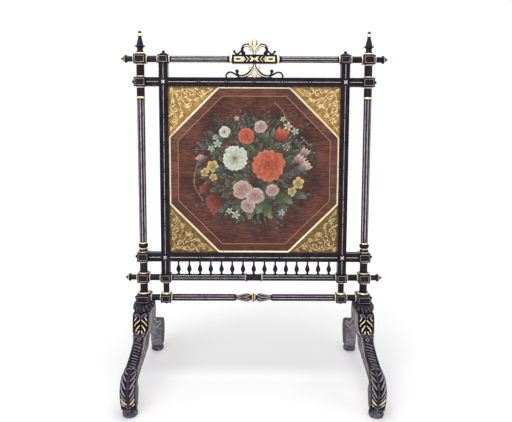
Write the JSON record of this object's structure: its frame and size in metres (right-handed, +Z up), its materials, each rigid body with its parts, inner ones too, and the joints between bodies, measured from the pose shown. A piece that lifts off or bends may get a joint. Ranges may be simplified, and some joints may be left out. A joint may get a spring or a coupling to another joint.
{
  "type": "fire screen",
  "caption": "Standing fire screen: an octagonal painted panel in an ebonised and gilt turned frame on carved scroll legs, which shields a sitter from the heat of a hearth.",
  "frame": {"origin": "on the floor, in the middle between the four feet", "axes": "+Z up, the painted front faces -Y, +X to the right for somebody who looks at the front"},
  "size_m": [0.794, 0.4868, 1.07],
  "materials": {
    "ebonised": "ebonised, semi-gloss",
    "parcel_gilt": "ebonised with gilt lines and rings",
    "gilt": "gilt, worn",
    "painted_board": "painted, varnished",
    "bare_wood": "unvarnished",
    "pin_brass": "dull"
  },
  "bodies": {
    "root": {"backboard": "bare_wood", "base_block_left": "parcel_gilt", "base_block_right": "parcel_gilt", "crest": "gilt", "finial_left": "parcel_gilt", "finial_right": "parcel_gilt", "foot_front_left": "ebonised", "foot_front_right": "ebonised", "foot_rear_left": "ebonised", "foot_rear_right": "ebonised", "gallery_link_left": "parcel_gilt", "gallery_link_right": "parcel_gilt", "gallery_point_left": "parcel_gilt", "gallery_point_right": "parcel_gilt", "gallery_rail": "parcel_gilt", "leg_dowels": "bare_wood", "leg_front_left": "parcel_gilt", "leg_front_right": "parcel_gilt", "leg_rear_left": "parcel_gilt", "leg_rear_right": "parcel_gilt", "lower_panel_rail": "parcel_gilt", "octagon_moulding": "gilt", "painted_panel": "painted_board", "panel_beads": "bare_wood", "panel_pins": "pin_brass", "post_buttons": "ebonised", "post_left": "parcel_gilt", "post_right": "parcel_gilt", "spandrels": "gilt", "spindle_01": "parcel_gilt", "spindle_02": "parcel_gilt", "spindle_03": "parcel_gilt", "spindle_04": "parcel_gilt", "spindle_05": "parcel_gilt", "spindle_06": "parcel_gilt", "spindle_07": "parcel_gilt", "spindle_08": "parcel_gilt", "spindle_09": "parcel_gilt", "spindle_10": "parcel_gilt", "spindle_11": "parcel_gilt", "spindle_12": "parcel_gilt", "spindle_13": "parcel_gilt", "spindle_14": "parcel_gilt", "spindle_15": "parcel_gilt", "stile_cap_left": "ebonised", "stile_cap_right": "ebonised", "stile_drop_left": "ebonised", "stile_drop_right": "ebonised", "stile_left": "parcel_gilt", "stile_right": "parcel_gilt", "stretcher": "parcel_gilt", "stretcher_link_left": "parcel_gilt", "stretcher_link_right": "parcel_gilt", "top_link_left": "parcel_gilt", "top_link_right": "parcel_gilt", "top_point_left": "parcel_gilt", "top_point_right": "parcel_gilt", "top_rail": "parcel_gilt", "under_crest": "gilt", "upper_panel_rail": "parcel_gilt"}
  },
  "joints": []
}
